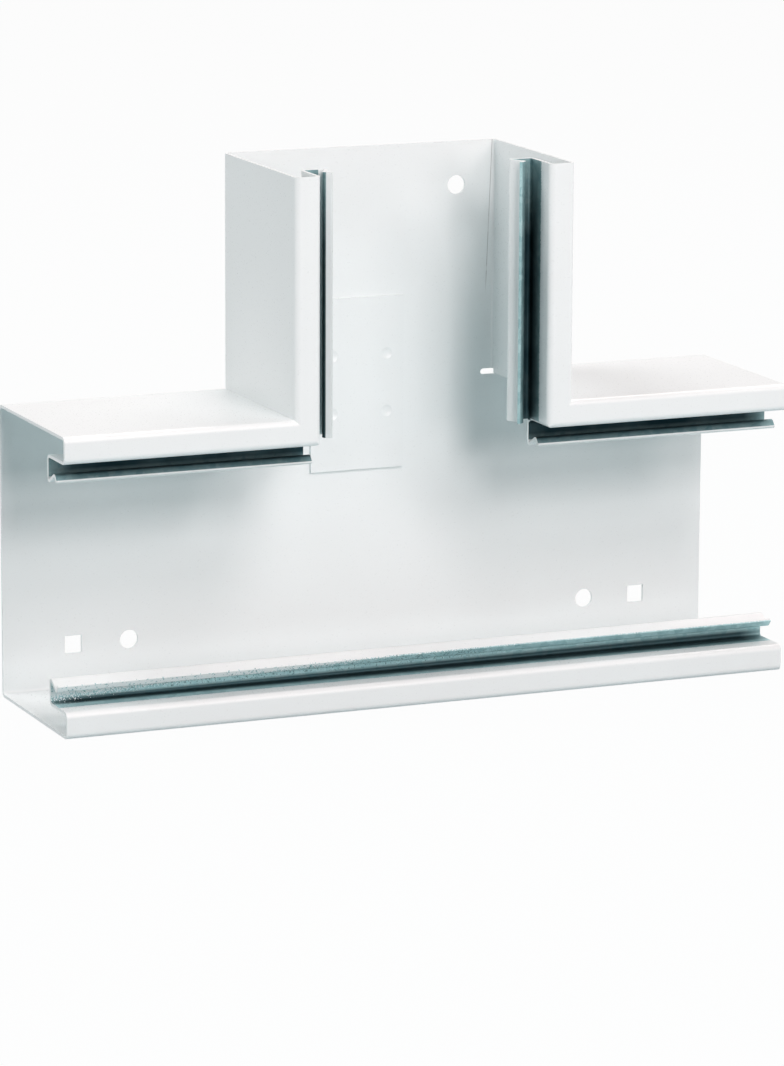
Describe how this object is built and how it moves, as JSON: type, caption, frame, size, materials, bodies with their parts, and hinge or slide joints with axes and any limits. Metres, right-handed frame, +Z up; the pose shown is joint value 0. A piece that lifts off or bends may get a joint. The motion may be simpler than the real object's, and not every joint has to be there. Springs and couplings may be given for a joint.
{
  "type": "trunking tee fitting",
  "caption": "White sheet steel tee for wall trunking, open to the front, with folded lips and snap-in cover rails.",
  "frame": {"origin": "bottom centre of the whole tee, at the middle of its depth and below the branch's centre line", "axes": "+X along the main run, +Y towards the wall behind, +Z up the branch"},
  "size_m": [0.26, 0.065, 0.18],
  "materials": {
    "body_paint": "smooth satin white powder coat, bare galvanised steel inside the rail grooves",
    "plate_paint": "smooth satin white powder coat"
  },
  "bodies": {
    "root": {"tee_body": "body_paint", "coupling_plate": "plate_paint"}
  },
  "joints": []
}
